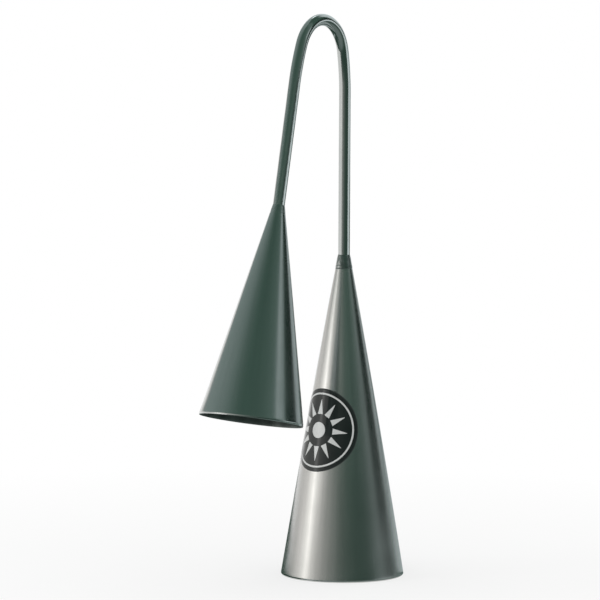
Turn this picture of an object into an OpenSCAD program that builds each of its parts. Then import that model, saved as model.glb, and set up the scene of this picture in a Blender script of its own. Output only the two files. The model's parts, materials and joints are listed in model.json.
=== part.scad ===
// Agogo bell: two conical sheet steel bells on one bent steel rod.
// The part stands on the mouth of the large bell. The origin is on the ground, in the middle of
// the footprint's box; +Z is up and the rod's bow lies in the XZ plane, small bell towards -X.

/* [Rod] */
// Diameter of the round steel rod
rod_d = 8; // [6:0.5:10]
// Bend radius at the crown of the bow, to the rod's centre line
crown_r = 26.3; // [20:0.1:34]
// Bend radius of the two shoulders, where the legs run into the crown, to the rod's centre line
shoulder_r = 150; // [100:5:200]
// Angle that the shoulder above the large bell turns through
large_shoulder_angle = 11.4; // [4:0.2:30]
// Angle that the shoulder above the small bell turns through
small_shoulder_angle = 10.6; // [4:0.2:30]
// Angle between the two legs
splay = 12.6; // [8:0.2:18]
// Straight rod between the large bell's neck weld and the bow
large_leg_l = 109.3; // [80:0.1:150]
// Straight rod between the small bell's neck weld and the bow
small_leg_l = 82.1; // [60:0.1:120]
// Rod inside each bell, below the top edge of its sheet
rod_insert = 12; // [6:1:20]

/* [Bell sheet] */
// Thickness of the sheet steel
sheet_t = 1; // [0.8:0.1:1.5]
// Radius of the dressed edges round each mouth
edge_r = 0.25; // [0.1:0.05:0.4]
// Width of the welded gap where the rolled sheet's edges meet
seam_w = 1.6; // [1:0.1:3]
// How far the seam's root stands proud inside, at the mouth
seam_root = 0.4; // [0.2:0.1:0.8]
// Depth that the neck welds reach down between rod and sheet
weld_root = 2; // [1:0.5:4]

/* [Large bell] */
// Outside diameter of the mouth
large_mouth_d = 84.5; // [70:0.5:100]
// Height of the sheet, from the mouth to its top edge
large_sheet_h = 210.5; // [180:0.5:250]
// Outward swell of the sheet at half height
large_belly = 0.5; // [0.1:0.1:2]
// Room round the rod at the sheet's top edge
large_neck_gap = 0.8; // [0.2:0.1:1.5]
// Height of the neck weld above the sheet
large_weld_h = 9.5; // [4:0.5:14]
// Swell of the neck weld beside a straight taper
large_weld_swell = 0.15; // [0:0.05:0.6]
// Turn of the seam about the bell's axis, from +X towards +Y
large_seam_turn = 35; // [0:5:60]

/* [Small bell] */
// Outside diameter of the mouth
small_mouth_d = 70; // [55:0.5:85]
// Height of the sheet, from the mouth to its top edge
small_sheet_h = 139.5; // [110:0.5:170]
// Outward swell of the sheet at half height
small_belly = 0.1; // [0.1:0.1:2]
// Room round the rod at the sheet's top edge
small_neck_gap = 0.15; // [0.1:0.05:1]
// Height of the neck weld above the sheet
small_weld_h = 5.5; // [3:0.5:10]
// Swell of the neck weld beside a straight taper
small_weld_swell = 0.35; // [0:0.05:0.8]
// Turn of the seam about the bell's axis, from its +X side towards +Y
small_seam_turn = 130; // [90:5:170]

/* [Badge] */
// Diameter of the round badge, measured along the sheet
badge_d = 57; // [40:1:64]
// Height of the badge's middle above the mouth
badge_z = 101.5; // [80:0.5:130]
// Direction that the badge faces, from +X towards +Y
badge_turn = 172; // [150:1:190]
// Thickness of the badge
badge_t = 0.2; // [0.1:0.05:0.4]
// Room between badge and sheet, for the glue
badge_gap = 0.03; // [0.03:0.01:0.1]
// Room between badge and print, for the ink's ground coat
print_gap = 0.05; // [0.05:0.01:0.1]
// Thickness of the print on the badge
print_t = 0.06; // [0.05:0.01:0.15]
// Diameter of the printed ring, to the middle of its line
ring_d = 50; // [40:1:52]
// Width of the printed ring's line
ring_w = 1.2; // [0.8:0.1:2]
// Distance from the badge's middle to the tips of the printed triangles
ray_tip_r = 21; // [16:0.5:22]
// Distance from the badge's middle to the feet of the printed triangles
ray_foot_r = 11; // [8:0.5:14]
// Number of printed triangles round the middle
ray_count = 12; // [8:1:16]
// Diameter of the printed spot in the middle
spot_d = 11; // [6:0.5:14]

/* [Hidden] */

// Number of straight pieces in a bell's outline, and in one dressed edge
outline_steps = 16;
edge_steps = 4;
weld_steps = 6;
$fn = 96;

steel = [0.42, 0.46, 0.45];
rod_steel = [0.36, 0.41, 0.39];
weld_steel = [0.30, 0.33, 0.32];
badge_black = [0.05, 0.06, 0.06];
print_silver = [0.80, 0.81, 0.80];

rod_r = rod_d / 2;
large_mouth_r = large_mouth_d / 2;
small_mouth_r = small_mouth_d / 2;
large_neck_r = rod_r + large_neck_gap + sheet_t;
small_neck_r = rod_r + small_neck_gap + sheet_t;

// A bell's sheet is described by mouth radius, neck radius, height and swell
large_sheet = [large_mouth_r, large_neck_r, large_sheet_h, large_belly];
small_sheet = [small_mouth_r, small_neck_r, small_sheet_h, small_belly];

// The bow, in the plane XZ with the large bell's axis at X = 0: each shoulder turns its leg in a
// little, and the crown turns through the rest of the way round to the small bell's leg
crown_angle = 180 - splay - large_shoulder_angle - small_shoulder_angle;
leg_top = large_sheet_h + large_weld_h + large_leg_l;
step_r = shoulder_r - crown_r;
large_shoulder_c = [-shoulder_r, leg_top];
crown_c = large_shoulder_c + step_r * [cos(large_shoulder_angle), sin(large_shoulder_angle)];
crown_end = large_shoulder_angle + crown_angle;
small_shoulder_c = crown_c - step_r * [cos(crown_end), sin(crown_end)];
bow_end = small_shoulder_c + shoulder_r * [-cos(splay), sin(splay)];

// The small bell hangs along this direction, and its mouth's middle is small_mouth_c
small_down = [-sin(splay), -cos(splay)];
small_reach = small_leg_l + small_weld_h + small_sheet_h;
small_mouth_c = bow_end + small_reach * small_down;

// The large bell's axis, set so that the origin lies halfway between the outermost rims
outer_rim_x = small_mouth_c[0] - small_mouth_r * cos(splay);
large_x = -(large_mouth_r + outer_rim_x) / 2;

// Angle between a bell's sheet and its axis, and the sheet's thickness measured level
function slope(bell) = atan((bell[0] - bell[1]) / bell[2]);
function level_t(bell) = sheet_t / cos(slope(bell));

// Outside radius of a bell at height z
function sheet_r(bell, z) =
    let (s = z / bell[2])
    bell[0] + (bell[1] - bell[0]) * s + 4 * bell[3] * s * (1 - s);

// Points of an arc about a centre, from angle a to angle b
function arc(centre, r, a, b, steps) =
    [for (i = [0 : steps]) centre + r * [cos(a + (b - a) * i / steps), sin(a + (b - a) * i / steps)]];

// Half section of a bell's wall. The inner side stands in by root at the mouth, and by nothing
// from the rod's end upwards
function wall_outline(bell, root) =
    let (
        t = level_t(bell),
        rod_end_z = bell[2] - rod_insert,
        inner_r = function (z) sheet_r(bell, z) - t - root * max(0, 1 - z / rod_end_z),
        heights = [for (i = [1 : outline_steps]) bell[2] * i / outline_steps],
        outer_c = [sheet_r(bell, edge_r) - edge_r, edge_r],
        inner_c = [inner_r(edge_r) + edge_r, edge_r]
    )
    concat(
        arc(inner_c, edge_r, 180, 270, edge_steps),
        arc(outer_c, edge_r, 270, 360, edge_steps),
        [for (z = heights) [sheet_r(bell, z), z]],
        [for (i = [outline_steps - 1 : -1 : 0]) [inner_r(heights[i]), heights[i]]]
    );

module wall(bell, root) {
    rotate_extrude() polygon(wall_outline(bell, root));
}

// The strip of space that the seam takes out of a bell's wall
module seam_strip(bell, turn) {
    rotate([0, 0, turn])
        translate([0, -seam_w / 2, -edge_r])
            cube([2 * bell[0], seam_w, bell[2] + 2 * edge_r]);
}

module rolled_sheet(bell, turn) {
    difference() {
        wall(bell, 0);
        seam_strip(bell, turn);
    }
}

module seam_weld(bell, turn) {
    intersection() {
        wall(bell, seam_root);
        seam_strip(bell, turn);
    }
}

// Ring of weld between rod and sheet: its foot fills the room round the rod, and its crown runs
// from the sheet's top edge to the rod
module neck_weld(bell, weld_h, swell) {
    foot_z = bell[2] - weld_root;
    t = level_t(bell);
    crown = [for (i = [0 : weld_steps])
        let (s = i / weld_steps)
        [bell[1] + (rod_r - bell[1]) * s + 4 * swell * s * (1 - s), bell[2] + weld_h * s]];
    step_in = outline_steps - 1;
    last_z = bell[2] * step_in / outline_steps;
    share = (foot_z - last_z) / (bell[2] - last_z);
    foot_r = (sheet_r(bell, last_z) * (1 - share) + bell[1] * share) - t;
    rotate_extrude()
        polygon(concat(
            [[rod_r, foot_z], [foot_r, foot_z], [bell[1] - t, bell[2]]],
            crown
        ));
}

// Bent rod that starts at the origin, runs up +Z and turns towards -X through an angle
module bend(r, angle) {
    translate([-r, 0, 0])
        rotate([90, 0, 0])
            rotate_extrude(angle = angle)
                translate([r, 0]) circle(d = rod_d);
}

// Carries its children to the end of such a bend, with +Z on along the rod
module past_bend(r, angle) {
    translate([-r, 0, 0])
        rotate([0, -angle, 0])
            translate([r, 0, 0]) children();
}

module at_large_bell() {
    translate([large_x, 0, 0]) children();
}

// Local frame of the small bell: origin in the middle of its mouth, +Z up its leg
module at_small_bell() {
    translate([large_x + small_mouth_c[0], 0, small_mouth_c[1]])
        rotate([0, splay, 0]) children();
}

// Start of the bow, at the top of the large bell's straight leg
module at_bow() {
    at_large_bell()
        translate([0, 0, leg_top]) children();
}

// The crown of the bow: the stretch between the two shoulders
module handle_bow() {
    color(rod_steel)
        at_bow()
            past_bend(shoulder_r, large_shoulder_angle)
                bend(crown_r, crown_angle);
}

// The large bell's leg, from inside its neck to the end of its shoulder
module large_leg() {
    straight_l = rod_insert + large_weld_h + large_leg_l;
    color(rod_steel)
        at_bow() {
            translate([0, 0, -straight_l]) cylinder(h = straight_l, d = rod_d);
            bend(shoulder_r, large_shoulder_angle);
        }
}

// The small bell's leg, from the crown through its shoulder to inside the small bell's neck
module small_leg() {
    straight_l = rod_insert + small_weld_h + small_leg_l;
    color(rod_steel)
        at_bow()
            past_bend(shoulder_r, large_shoulder_angle)
                past_bend(crown_r, crown_angle)
                    past_bend(shoulder_r, small_shoulder_angle) {
                        mirror([0, 0, 1]) bend(shoulder_r, small_shoulder_angle);
                        cylinder(h = straight_l, d = rod_d);
                    }
}

module large_bell() {
    color(steel) at_large_bell() rolled_sheet(large_sheet, large_seam_turn);
}

module large_seam_weld() {
    color(weld_steel) at_large_bell() seam_weld(large_sheet, large_seam_turn);
}

module large_neck_weld() {
    color(weld_steel) at_large_bell() neck_weld(large_sheet, large_weld_h, large_weld_swell);
}

module small_bell() {
    color(steel) at_small_bell() rolled_sheet(small_sheet, small_seam_turn);
}

module small_seam_weld() {
    color(weld_steel) at_small_bell() seam_weld(small_sheet, small_seam_turn);
}

module small_neck_weld() {
    color(weld_steel) at_small_bell() neck_weld(small_sheet, small_weld_h, small_weld_swell);
}

// The flat badge has X up the bell and Y round it. wrap gives the turn about the bell's axis and
// the height of one of its points once it is wrapped on the large bell's cone
cone_slope = slope(large_sheet);
cone_apex_z = badge_z + sheet_r(large_sheet, badge_z) / tan(cone_slope);
badge_slant = (cone_apex_z - badge_z) / cos(cone_slope);
function wrap(p) =
    let (along = badge_slant - p[0], slant = norm([along, p[1]]))
    [badge_turn + atan2(p[1], along) / sin(cone_slope), cone_apex_z - slant * cos(cone_slope)];

// A wrapped point, at a share of the sheet's radius from the bell's axis
function on_ray(tz, share) =
    let (r = share * sheet_r(large_sheet, tz[1]))
    [r * cos(tz[0]), r * sin(tz[0]), tz[1]];

// Block that cuts a closed flat outline out of a thin layer round the bell. Its walls run
// straight out from the axis, from inside the sheet to well outside it
inner_share = 0.6;
outer_share = 1.5;
module wrapped_block(outline) {
    n = len(outline);
    turned = [for (p = outline) wrap(p)];
    middle = wrap([for (k = [0, 1]) [for (p = outline) p[k]] * [for (p = outline) 1 / n]]);
    points = concat(
        [for (tz = turned) on_ray(tz, inner_share)],
        [for (tz = turned) on_ray(tz, outer_share)],
        [on_ray(middle, inner_share), on_ray(middle, outer_share)]
    );
    faces = [for (i = [0 : n - 1])
        let (j = (i + 1) % n)
        each [[i, j, 2 * n], [n + j, n + i, 2 * n + 1], [i, n + i, n + j], [i, n + j, j]]];
    polyhedron(points, faces);
}

// Layer round the large bell, between two distances from its sheet
module layer(low, high) {
    heights = [for (i = [1 : outline_steps - 1]) large_sheet_h * i / outline_steps];
    low_side = [for (z = heights) [sheet_r(large_sheet, z) + low / cos(cone_slope), z]];
    high_side = [for (i = [len(heights) - 1 : -1 : 0])
        [sheet_r(large_sheet, heights[i]) + high / cos(cone_slope), heights[i]]];
    rotate_extrude() polygon(concat(low_side, high_side));
}

function round_outline(d, points) =
    [for (i = [0 : points - 1]) d / 2 * [cos(i * 360 / points), sin(i * 360 / points)]];

badge_points = 72;
spot_points = 24;
badge_top = badge_gap + badge_t;
print_low = badge_top + print_gap;
print_high = print_low + print_t;

// A wrapped point, lifted off the large bell's sheet
function lifted(p, off) =
    let (tz = wrap(p), r = sheet_r(large_sheet, tz[1]) + off / cos(cone_slope))
    [r * cos(tz[0]), r * sin(tz[0]), tz[1]];

// A patch of print on the badge. Its flat points are rows that run outwards, each with its
// columns turning from +X to +Y; a closed patch is a ring
module print_patch(rows, closed) {
    last = len(rows) - 1;
    cols = len(rows[0]);
    n = len(rows) * cols;
    id = function (i, j) i * cols + j % cols;
    round_trip = [for (j = [0 : closed ? cols - 1 : cols - 2]) j];
    edges = concat(
        [for (j = round_trip) [id(last, j), id(last, j + 1)]],
        [for (j = round_trip) [id(0, j + 1), id(0, j)]],
        closed ? [] : [for (i = [0 : last - 1]) [id(i, 0), id(i + 1, 0)]],
        closed ? [] : [for (i = [0 : last - 1]) [id(i + 1, cols - 1), id(i, cols - 1)]]
    );
    cells = [for (i = [0 : last - 1]) for (j = round_trip)
        [id(i, j), id(i, j + 1), id(i + 1, j + 1), id(i + 1, j)]];
    polyhedron(
        concat(
            [for (row = rows) for (p = row) lifted(p, print_low)],
            [for (row = rows) for (p = row) lifted(p, print_high)]
        ),
        concat(
            [for (c = cells) each [[c[2], c[1], c[0]], [c[3], c[2], c[0]]]],
            [for (c = cells) each [[n + c[0], n + c[1], n + c[2]], [n + c[0], n + c[2], n + c[3]]]],
            [for (e = edges) each [[n + e[1], e[1], e[0]], [n + e[0], n + e[1], e[0]]]]
        )
    );
}

// Rows of a printed triangle that points away from the badge's middle in direction psi. Its tip
// keeps a small share of the foot's width
ray_steps = 6;
ray_width_share = 0.72;
ray_tip_share = 0.06;
function ray_rows(psi) =
    let (
        half = ray_foot_r * tan(ray_width_share * 180 / ray_count),
        out = [cos(psi), sin(psi)],
        side = [-sin(psi), cos(psi)]
    )
    [for (i = [0 : ray_steps])
        let (s = i / ray_steps, w = half * (1 - s * (1 - ray_tip_share)))
        [for (k = [-1, 0, 1]) (ray_foot_r + (ray_tip_r - ray_foot_r) * s) * out + k * w * side]];

module badge_disc() {
    color(badge_black)
        at_large_bell()
            intersection() {
                layer(badge_gap, badge_top);
                wrapped_block(round_outline(badge_d, badge_points));
            }
}

module badge_ring() {
    color(print_silver)
        at_large_bell()
            print_patch([for (d = [ring_d - ring_w, ring_d + ring_w]) round_outline(d, badge_points)], true);
}

module badge_rays() {
    color(print_silver)
        at_large_bell() {
            for (k = [0 : ray_count - 1]) print_patch(ray_rows(k * 360 / ray_count), false);
            intersection() {
                layer(print_low, print_high);
                wrapped_block(round_outline(spot_d, spot_points));
            }
        }
}

handle_bow();
large_leg();
small_leg();
large_bell();
large_seam_weld();
large_neck_weld();
small_bell();
small_seam_weld();
small_neck_weld();
badge_disc();
badge_ring();
badge_rays();
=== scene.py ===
# %% [markdown]
# # Agogo bell: two steel cones on one bent rod
# An agogo is a pair of bells of different pitch. Here each bell is a cone rolled from thin sheet
# steel, and both are welded to the ends of one bent steel rod, which is handle and spring at once.
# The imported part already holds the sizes, so it is loaded first and everything is built around it.
# Loading it, instead of typing its places again, means that a surface can't drift off its piece.

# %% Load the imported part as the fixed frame
import json
import math

import bpy
import numpy as np
from mathutils import Matrix, Vector


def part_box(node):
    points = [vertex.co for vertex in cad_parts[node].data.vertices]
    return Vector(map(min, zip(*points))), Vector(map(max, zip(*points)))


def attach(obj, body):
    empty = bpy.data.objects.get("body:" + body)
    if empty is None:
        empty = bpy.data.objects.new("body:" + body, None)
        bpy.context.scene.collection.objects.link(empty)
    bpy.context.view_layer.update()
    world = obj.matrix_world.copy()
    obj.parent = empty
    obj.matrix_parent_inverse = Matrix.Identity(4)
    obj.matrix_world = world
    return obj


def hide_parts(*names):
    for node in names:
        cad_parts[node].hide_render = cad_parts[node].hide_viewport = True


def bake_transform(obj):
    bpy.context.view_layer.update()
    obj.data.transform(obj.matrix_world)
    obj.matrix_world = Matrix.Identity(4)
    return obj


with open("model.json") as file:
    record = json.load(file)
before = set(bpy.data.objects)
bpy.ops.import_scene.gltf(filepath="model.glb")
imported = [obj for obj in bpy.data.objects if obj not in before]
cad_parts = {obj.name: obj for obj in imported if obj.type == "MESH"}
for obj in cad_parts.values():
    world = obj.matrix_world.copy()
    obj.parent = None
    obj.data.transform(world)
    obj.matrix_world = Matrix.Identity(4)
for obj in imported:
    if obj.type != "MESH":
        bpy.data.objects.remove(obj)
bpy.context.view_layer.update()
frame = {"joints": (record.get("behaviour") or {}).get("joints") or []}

# %% [markdown]
# ## The sizes of the real thing
# A bell is four numbers: mouth radius, neck radius, height and a slight swell half way up. The rod
# is a bar of one diameter with three bends. The hinge of the frame sits in the middle of the crown
# bend, so the whole bow can be laid out from that one point.

# %% Sizes and places, in metres
MM = 0.001
SHEET_T = 1.0 * MM
ROD_R = 4.0 * MM
CROWN_R = 26.3 * MM
SHOULDER_R = 150.0 * MM
LARGE_SHOULDER_TURN = math.radians(11.4)
SMALL_SHOULDER_TURN = math.radians(10.6)
SPLAY = math.radians(12.6)
ROD_INSERT = 12.0 * MM
LARGE_LEG = 109.3 * MM
SMALL_LEG = 82.1 * MM

LARGE = {"mouth_r": 42.25 * MM, "neck_r": 5.8 * MM, "h": 210.5 * MM, "belly": 0.5 * MM,
         "weld_h": 9.5 * MM, "weld_swell": 0.15 * MM, "seam": math.radians(35),
         "grooves": ((0.03, 0.22 * MM, 0.7), (0.26, 0.14 * MM, 2.9)),
         "weld_lumps": 0.12 * MM, "weld_step": 0.06 * MM}
SMALL = {"mouth_r": 35.0 * MM, "neck_r": 5.15 * MM, "h": 139.5 * MM, "belly": 0.1 * MM,
         "weld_h": 5.5 * MM, "weld_swell": 0.05 * MM, "seam": math.radians(130),
         "grooves": (), "weld_lumps": 0.04 * MM, "weld_step": 0.01 * MM}

hinge = frame["joints"][0]
crown_x, _, crown_z = hinge["pos_m"]
crown_turn = math.pi - SPLAY - LARGE_SHOULDER_TURN - SMALL_SHOULDER_TURN
step = SHOULDER_R - CROWN_R
large_axis_x = crown_x - step * math.cos(LARGE_SHOULDER_TURN) + SHOULDER_R
crown_end = LARGE_SHOULDER_TURN + crown_turn
small_shoulder = (crown_x - step * math.cos(crown_end), crown_z - step * math.sin(crown_end))
bow_end = (small_shoulder[0] - SHOULDER_R * math.cos(SPLAY),
           small_shoulder[1] + SHOULDER_R * math.sin(SPLAY))
small_reach = SMALL_LEG + SMALL["weld_h"] + SMALL["h"]
LARGE["at"], LARGE["tilt"] = (large_axis_x, 0.0), 0.0
SMALL["at"] = (bow_end[0] - small_reach * math.sin(SPLAY), bow_end[1] - small_reach * math.cos(SPLAY))
SMALL["tilt"] = SPLAY
for name, bell in (("large_bell", LARGE), ("small_bell", SMALL)):
    low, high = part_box(name)
    print(name, "mouth centre mm", [round(v / MM, 2) for v in bell["at"]],
          "packed box mm", [round(v / MM, 1) for v in (*low, *high)])

# %% [markdown]
# ## One way to build every piece
# Bells, welds, rod, badge and print are all a closed section carried along a path, so each one is a
# grid of points whose columns run round the section. Two things can happen at the ends: the grid
# closes on itself like a ring, or each end closes in a pole. Working on whole arrays keeps it
# fast, and the signed volume tells whether the faces look outwards.

# %% Grid of points to closed shell
def shell(points, across, along, ring):
    """Faces of a rows x columns grid. Columns close; rows close too in a ring, or end in poles.
    across and along are the lengths along the grid for the UV map, one more than the faces."""
    rows, cols = points.shape[:2]
    bands = rows if ring else rows - 1
    i, j = (a.ravel() for a in np.meshgrid(np.arange(bands), np.arange(cols), indexing="ij"))
    ci, cj = np.stack([i, i, i + 1, i + 1], 1), np.stack([j, j + 1, j + 1, j], 1)
    quads = (ci % rows) * cols + cj % cols
    quad_uv = np.stack([across[cj], along[ci]], -1)
    verts = points.reshape(-1, 3)
    if ring:
        return verts, quads, quad_uv, np.zeros((0, 3), int), np.zeros((0, 3, 2))
    k = np.arange(cols)
    following = (k + 1) % cols
    last = (rows - 1) * cols
    verts = np.vstack([verts, points[0].mean(0), points[-1].mean(0)])
    start_pole, end_pole = np.full(cols, rows * cols), np.full(cols, rows * cols + 1)
    start_tris = np.stack([following, k, start_pole], 1)
    end_tris = np.stack([last + k, last + following, end_pole], 1)
    here, there = across[k], across[k + 1]
    mid = (here + there) / 2
    start_uv = np.stack([np.stack([there, here, mid], 1), np.full((cols, 3), along[0])], -1)
    end_uv = np.stack([np.stack([here, there, mid], 1), np.full((cols, 3), along[-1])], -1)
    return verts, quads, quad_uv, np.vstack([start_tris, end_tris]), np.vstack([start_uv, end_uv])


def volume(verts, quads, tris):
    """Signed volume: the sum of a.(b x c) / 6 over the triangles."""
    t = np.vstack([quads[:, [0, 1, 2]], quads[:, [0, 2, 3]], tris])
    a, b, c = verts[t[:, 0]], verts[t[:, 1]], verts[t[:, 2]]
    return float((a * np.cross(b, c)).sum() / 6)


def join(parts):
    """Several shells as one, with their vertex numbers moved on."""
    moved, start = [], 0
    for verts, quads, quad_uv, tris, tri_uv in parts:
        moved.append((verts, quads + start, quad_uv, tris + start, tri_uv))
        start += len(verts)
    return tuple(np.concatenate(column) for column in zip(*moved))


print("shell helpers:", shell.__name__, volume.__name__, join.__name__)

# %% Shells to a piece on a body
def make_piece(name, parts, materials, body, stands_for, slot, face_material=None, marks=None,
               crease=35):
    """A mesh object from shells. face_material picks a material for each quad of the first shell,
    and marks are named values at each vertex."""
    verts, quads, quad_uv, tris, tri_uv = join(parts)
    if volume(verts, quads, tris) < 0:
        quads, quad_uv, tris, tri_uv = quads[:, ::-1], quad_uv[:, ::-1], tris[:, ::-1], tri_uv[:, ::-1]
    mesh = bpy.data.meshes.new(name)
    mesh.from_pydata(verts.tolist(), [], quads.tolist() + tris.tolist())
    layer = mesh.uv_layers.new(name="wrap")
    corners = np.concatenate([quad_uv.reshape(-1), tri_uv.reshape(-1)])
    layer.data.foreach_set("uv", corners.astype(np.float32))
    for m in materials:
        mesh.materials.append(m)
    if face_material is not None:
        index = np.zeros(len(quads) + len(tris), np.int32)
        index[: len(face_material)] = face_material
        mesh.polygons.foreach_set("material_index", index)
    for key, values in (marks or {}).items():
        mark = mesh.attributes.new(key, "FLOAT", "POINT")
        mark.data.foreach_set("value", values.astype(np.float32).ravel())
    mesh.shade_smooth()
    mesh.set_sharp_from_angle(angle=math.radians(crease))
    obj = bpy.data.objects.new(name, mesh)
    bpy.context.scene.collection.objects.link(obj)
    if body:
        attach(obj, body)
    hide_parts(*stands_for)
    print(f"{name}: {len(verts)} points, {2 * len(quads) + len(tris)} triangles")
    return obj


print("piece helper:", make_piece.__name__)

# %% Lengths along a line, and a soft step
def running(points):
    """Length from the first point of a line to each of its points."""
    return np.concatenate([[0], np.cumsum(np.linalg.norm(np.diff(points, axis=0), axis=1))])


def smooth(low, high, x):
    """0 below low, 1 above high, and an S between them."""
    t = np.clip((x - low) / (high - low), 0, 1)
    return t * t * (3 - 2 * t)


print("soft step at quarters:", smooth(0, 1, np.linspace(0, 1, 5)))

# %% [markdown]
# ## Node helpers
# Node trees are long to write by hand. A few small helpers add a node with its values and wire it
# up, so that a finish reads from top to bottom. What is the same all over a surface is set on the
# shader itself, because an export keeps it only there.

# %% Add and wire nodes
def add(tree, kind, settings=None, **inputs):
    """A new node. settings are its properties; inputs are values or sockets, by input name with
    _ for a space, or by number as n0, n1 and so on."""
    node = tree.nodes.new(kind)
    for key, value in (settings or {}).items():
        setattr(node, key, value)
    for key, value in inputs.items():
        by_number = key[0] == "n" and key[1:].isdigit()
        socket = node.inputs[int(key[1:]) if by_number else key.replace("_", " ")]
        if isinstance(value, bpy.types.NodeSocket):
            tree.links.new(value, socket)
        else:
            socket.default_value = value
    return node


def maths(tree, operation, a, b=0.0, clamp=False):
    """One sum on numbers."""
    settings = {"operation": operation, "use_clamp": clamp}
    return add(tree, "ShaderNodeMath", settings, n0=a, n1=b).outputs[0]


def scaled(tree, value, by):
    """A value times a number."""
    return maths(tree, "MULTIPLY", value, by)


def blend_colour(tree, share, a, b):
    """Colour a turned towards colour b by a share."""
    node = add(tree, "ShaderNodeMix", {"data_type": "RGBA", "blend_type": "MIX"}, n0=share, n6=a, n7=b)
    return node.outputs[2]


def stain(tree, colour, mask, share, towards):
    """A colour turned towards another by a share of a mask."""
    return blend_colour(tree, scaled(tree, mask, share), colour, towards)


def fit(tree, value, low, high, to_low, to_high):
    """A value from one range fitted into another, and kept inside it."""
    node = add(tree, "ShaderNodeMapRange", None, Value=value, From_Min=low, From_Max=high,
               To_Min=to_low, To_Max=to_high)
    return node.outputs[0]


def noise(tree, place, scale, detail, rough, **more):
    """Noise at a place."""
    return add(tree, "ShaderNodeTexNoise", None, Vector=place, Scale=scale, Detail=detail,
               Roughness=rough, **more).outputs[0]


def mark_value(tree, name):
    """A value that the mesh holds at its points."""
    return add(tree, "ShaderNodeAttribute", {"attribute_name": name}).outputs["Fac"]


print("node helpers:", [f.__name__ for f in (add, maths, scaled, blend_colour, stain, fit, noise)])

# %% Groups and materials
def new_group(name, inputs, outputs):
    """An empty node group with named sockets; inputs is {name: (socket type, value)}."""
    tree = bpy.data.node_groups.new(name, "ShaderNodeTree")
    for key, (kind, value) in inputs.items():
        socket = tree.interface.new_socket(key, in_out="INPUT", socket_type=kind)
        if value is not None:
            socket.default_value = value
    for key, kind in outputs.items():
        tree.interface.new_socket(key, in_out="OUTPUT", socket_type=kind)
    return tree, tree.nodes.new("NodeGroupInput"), tree.nodes.new("NodeGroupOutput")


def use_group(tree, group, **inputs):
    """A group placed in a material."""
    return add(tree, "ShaderNodeGroup", {"node_tree": group}, **inputs)


def new_material(name):
    """An empty material with its principled shader wired to the output."""
    material = bpy.data.materials.new(name)
    material.use_nodes = True
    tree = material.node_tree
    tree.nodes.clear()
    shader = tree.nodes.new("ShaderNodeBsdfPrincipled")
    output = tree.nodes.new("ShaderNodeOutputMaterial")
    tree.links.new(shader.outputs[0], output.inputs[0])
    return material, tree, shader


def dress(tree, shader, colour, gloss, bump, **plain):
    """Give a shader its colour, roughness and bumped normal by node, and the rest as plain values."""
    tree.links.new(colour, shader.inputs["Base Color"])
    tree.links.new(gloss, shader.inputs["Roughness"])
    tree.links.new(bump.outputs[0], shader.inputs["Normal"])
    for key, value in plain.items():
        shader.inputs[key.replace("_", " ")].default_value = value


print("material helpers:", [f.__name__ for f in (new_group, use_group, new_material, dress)])

# %% [markdown]
# ## Drawn lines
# Rolling and rubbing leave faint lines that run up the sheet and along the rod. One noise, stretched
# up to eighty times along the lines, gives them. It reads the UV map, which is in metres along the
# metal, because Object coordinates would not follow the bend of the rod. A second, wider noise
# gives the broad streaks where the rolls pressed harder. The same group serves the sheet, the rod
# and the ground welds, each with its own spacing.

# %% Node group: drawn lines
WIDE_ALONG = 0.3
WIDE_ACROSS = 0.1
FINE_HEIGHT = 0.4

drawn_lines, g_in, g_out = new_group(
    "drawn_lines",
    {"Along": ("NodeSocketFloat", 0.0), "Across": ("NodeSocketFloat", 0.0),
     "Length": ("NodeSocketFloat", 0.03), "Spacing": ("NodeSocketFloat", 0.0003)},
    {"Tone": "NodeSocketFloat", "Streaks": "NodeSocketFloat", "Height": "NodeSocketFloat"})
scaled_along = maths(drawn_lines, "DIVIDE", g_in.outputs["Along"], g_in.outputs["Length"])
scaled_across = maths(drawn_lines, "DIVIDE", g_in.outputs["Across"], g_in.outputs["Spacing"])
fine_place = add(drawn_lines, "ShaderNodeCombineXYZ", None, X=scaled_along, Y=scaled_across)
fine = add(drawn_lines, "ShaderNodeTexNoise", {"noise_dimensions": "2D"},
           Vector=fine_place.outputs[0], Scale=1.0, Detail=4.0, Roughness=0.6)
wide_place = add(drawn_lines, "ShaderNodeCombineXYZ", None,
                 X=scaled(drawn_lines, scaled_along, WIDE_ALONG),
                 Y=scaled(drawn_lines, scaled_across, WIDE_ACROSS))
wide = add(drawn_lines, "ShaderNodeTexNoise", {"noise_dimensions": "2D"},
           Vector=wide_place.outputs[0], Scale=1.0, Detail=3.0, Roughness=0.55)
drawn_lines.links.new(fit(drawn_lines, fine.outputs[0], 0.25, 0.75, 0.0, 1.0), g_out.inputs["Tone"])
drawn_lines.links.new(fit(drawn_lines, wide.outputs[0], 0.3, 0.7, 0.0, 1.0), g_out.inputs["Streaks"])
height = maths(drawn_lines, "ADD", scaled(drawn_lines, fine.outputs[0], FINE_HEIGHT),
               scaled(drawn_lines, wide.outputs[0], 1 - FINE_HEIGHT))
drawn_lines.links.new(height, g_out.inputs["Height"])


def lines_on_wrap(tree, length, spacing):
    """Drawn lines placed by the wrap UV map, whose second axis runs along them."""
    uv = add(tree, "ShaderNodeUVMap", {"uv_map": "wrap"})
    split = add(tree, "ShaderNodeSeparateXYZ", None, Vector=uv.outputs[0])
    return use_group(tree, drawn_lines, Along=split.outputs[1], Across=split.outputs[0],
                     Length=length, Spacing=spacing)


print("group", drawn_lines.name, "sockets", [s.name for s in drawn_lines.interface.items_tree])

# %% [markdown]
# ## Handling
# A played instrument is never even: fingers leave duller patches, and shelf and beater leave small
# nicks. Soft blotches come from a low noise on Object coordinates, and nicks are the rare peaks of
# a fine one. Only masks leave the group, so each material decides what a blotch does to it.

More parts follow.
